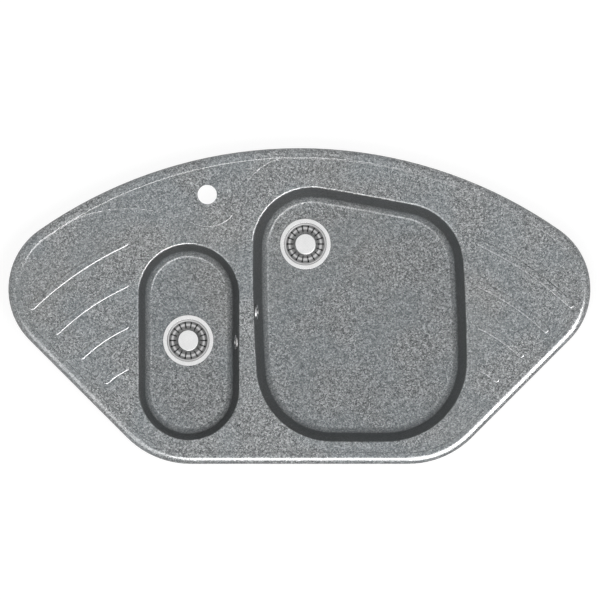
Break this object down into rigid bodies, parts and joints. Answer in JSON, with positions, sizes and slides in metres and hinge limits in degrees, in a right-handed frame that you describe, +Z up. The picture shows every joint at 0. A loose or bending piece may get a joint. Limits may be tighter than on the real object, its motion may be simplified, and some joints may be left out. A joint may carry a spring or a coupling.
{
  "type": "corner kitchen sink",
  "caption": "Corner kitchen sink in speckled stone composite: main bowl and half bowl with basket wastes and overflows, ribbed wings, raised rim and a tap hole.",
  "frame": {"origin": "middle of the rim's bounding rectangle, in the plane of the worktop that the rim lies on", "axes": "+X to the right along the straight front edge, +Y towards the corner of the room, +Z up"},
  "size_m": [1.0598, 0.575, 0.301],
  "materials": {
    "composite": "matt moulded stone composite, speckled mid grey",
    "foam": "dark closed-cell foam",
    "polished_steel": "polished pressed steel",
    "satin_steel": "satin pressed steel",
    "screw_steel": "plain steel",
    "clip_steel": "bright zinc plate",
    "black_rubber": "matt black",
    "waste_plastic": "moulded pale grey",
    "stem_plastic": "moulded off-white",
    "hose_plastic": "soft ribbed grey"
  },
  "bodies": {
    "root": {"clip_plugs": "stem_plastic", "clip_screws": "screw_steel", "half_clamp_screw": "screw_steel", "half_drain_cup": "polished_steel", "half_flange_gasket": "black_rubber", "half_hose_clips": "clip_steel", "half_overflow_cover": "polished_steel", "half_overflow_gasket": "black_rubber", "half_overflow_hose": "hose_plastic", "half_overflow_housing": "waste_plastic", "half_overflow_screw": "screw_steel", "half_under_gasket": "black_rubber", "half_waste_body": "waste_plastic", "main_clamp_screw": "screw_steel", "main_drain_cup": "polished_steel", "main_flange_gasket": "black_rubber", "main_hose_clips": "clip_steel", "main_overflow_cover": "polished_steel", "main_overflow_gasket": "black_rubber", "main_overflow_hose": "hose_plastic", "main_overflow_housing": "waste_plastic", "main_overflow_screw": "screw_steel", "main_under_gasket": "black_rubber", "main_waste_body": "waste_plastic", "rim_seal": "foam", "sink_body": "composite"},
    "main_strainer": {"main_basket": "satin_steel", "main_basket_cap": "polished_steel", "main_basket_stem": "stem_plastic", "main_stem_ring": "black_rubber", "main_stopper": "black_rubber"},
    "half_strainer": {"half_basket": "satin_steel", "half_basket_cap": "polished_steel", "half_basket_stem": "stem_plastic", "half_stem_ring": "black_rubber", "half_stopper": "black_rubber"},
    "clip_1": {"fixing_clip_1": "clip_steel"},
    "clip_2": {"fixing_clip_2": "clip_steel"},
    "clip_3": {"fixing_clip_3": "clip_steel"},
    "clip_4": {"fixing_clip_4": "clip_steel"},
    "clip_5": {"fixing_clip_5": "clip_steel"},
    "clip_6": {"fixing_clip_6": "clip_steel"},
    "clip_7": {"fixing_clip_7": "clip_steel"},
    "clip_8": {"fixing_clip_8": "clip_steel"}
  },
  "joints": [
    {"name": "main_strainer_lift", "type": "slide", "parent": "root", "child": "main_strainer", "axis": [0, 0, 1], "range_m": [-0.005, 0.27]},
    {"name": "half_strainer_lift", "type": "slide", "parent": "root", "child": "half_strainer", "axis": [0, 0, 1], "range_m": [-0.005, 0.22]},
    {"name": "clip_1_swivel", "type": "hinge", "parent": "root", "child": "clip_1", "pos_m": [-0.32885, 0.1821, -0.0463], "axis": [0, 0, 1], "range_deg": [-90, 90]},
    {"name": "clip_2_swivel", "type": "hinge", "parent": "root", "child": "clip_2", "pos_m": [-0.02768, 0.25302, -0.0463], "axis": [0, 0, 1], "range_deg": [-90, 90]},
    {"name": "clip_3_swivel", "type": "hinge", "parent": "root", "child": "clip_3", "pos_m": [0.29706, 0.19576, -0.0463], "axis": [0, 0, 1], "range_deg": [-90, 90]},
    {"name": "clip_4_swivel", "type": "hinge", "parent": "root", "child": "clip_4", "pos_m": [-0.496, 0.03078, -0.0463], "axis": [0, 0, 1], "range_deg": [-90, 90]},
    {"name": "clip_5_swivel", "type": "hinge", "parent": "root", "child": "clip_5", "pos_m": [0.496, 0.03078, -0.0463], "axis": [0, 0, 1], "range_deg": [-90, 90]},
    {"name": "clip_6_swivel", "type": "hinge", "parent": "root", "child": "clip_6", "pos_m": [-0.37878, -0.12662, -0.0463], "axis": [0, 0, 1], "range_deg": [-90, 90]},
    {"name": "clip_7_swivel", "type": "hinge", "parent": "root", "child": "clip_7", "pos_m": [0.37878, -0.12662, -0.0463], "axis": [0, 0, 1], "range_deg": [-90, 90]},
    {"name": "clip_8_swivel", "type": "hinge", "parent": "root", "child": "clip_8", "pos_m": [-0.115, -0.2535, -0.0463], "axis": [0, 0, 1], "range_deg": [-90, 90]}
  ]
}
